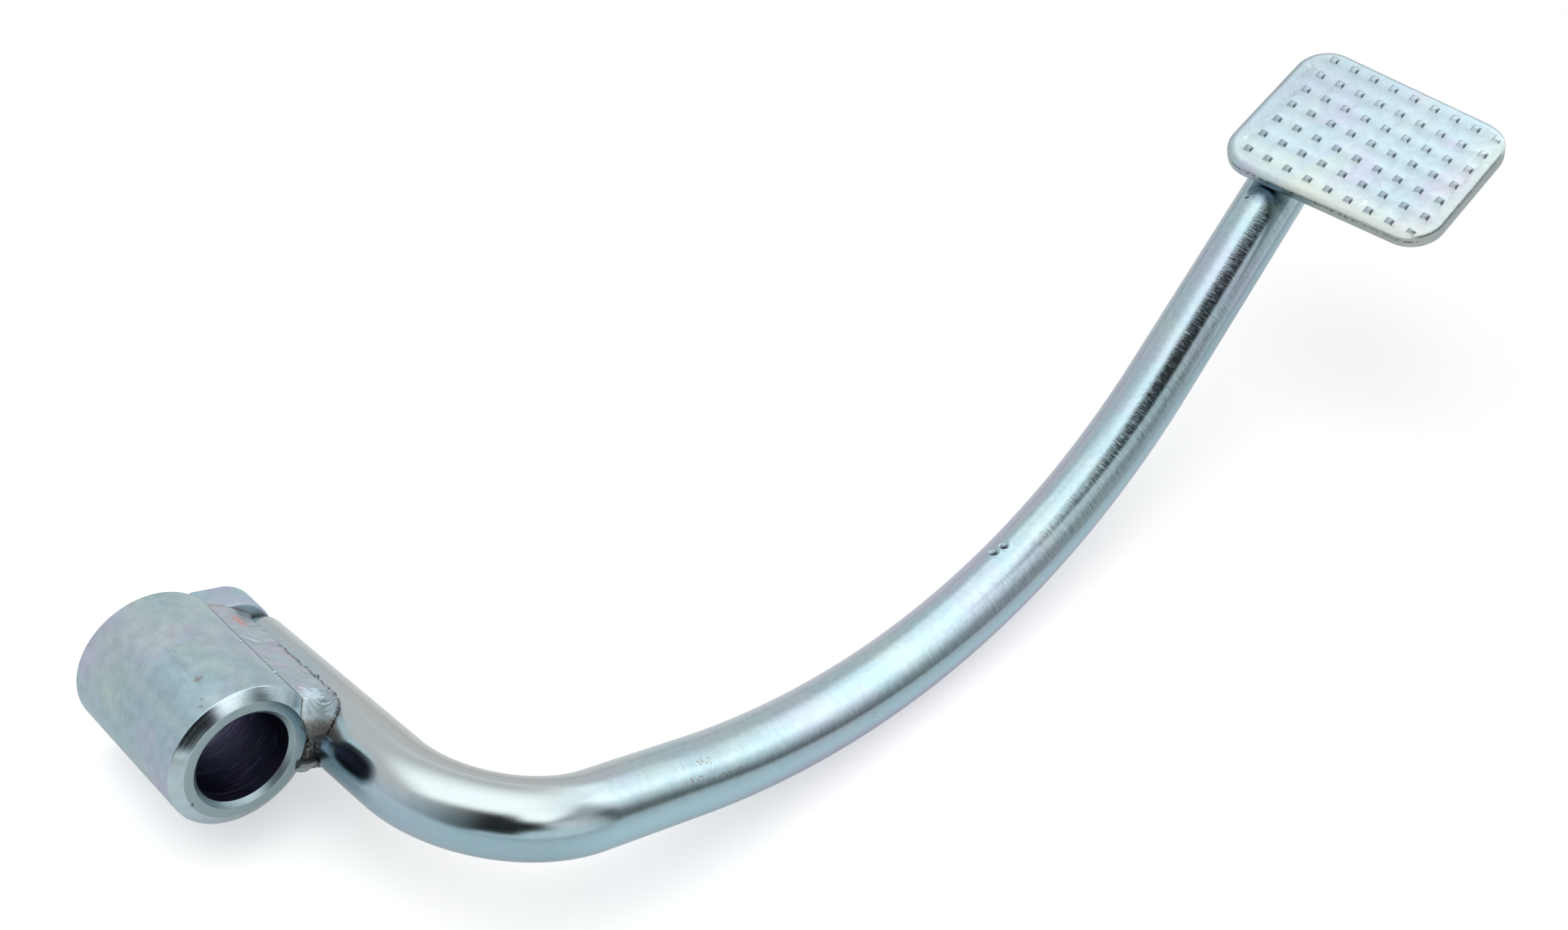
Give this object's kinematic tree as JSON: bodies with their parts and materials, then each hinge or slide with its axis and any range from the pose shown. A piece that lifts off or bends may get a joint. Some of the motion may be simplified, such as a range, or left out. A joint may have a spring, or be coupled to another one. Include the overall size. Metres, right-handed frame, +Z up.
{
  "type": "moped brake pedal",
  "caption": "Foot brake pedal of a moped: a plain pivot bush with a bent round-bar arm welded beside it and a small rounded tread plate with a grid of raised pips.",
  "frame": {"origin": "centre of the pivot bush's outer face, on the axis of its bore", "axes": "+Y runs along the bore from the outer face to the inner face, towards the machine's middle; +X points forward to the tread; +Z is up"},
  "size_m": [0.2583, 0.0748, 0.1385],
  "materials": {
    "bush": "bright zinc plate with a faint blue cast, turned",
    "bar": "bright zinc plate over a bar polished around its girth",
    "lug": "bright zinc plate, satin",
    "tread": "bright zinc plate, stamped",
    "weld": "zinc plate over rippled weld metal"
  },
  "bodies": {
    "root": {"pivot_bush": "bush", "pedal_arm": "bar", "rear_lug": "lug", "tread_plate": "tread", "bush_weld_upper": "weld", "bush_weld_lower": "weld", "tread_weld_outer": "weld", "tread_weld_inner": "weld"}
  },
  "joints": []
}
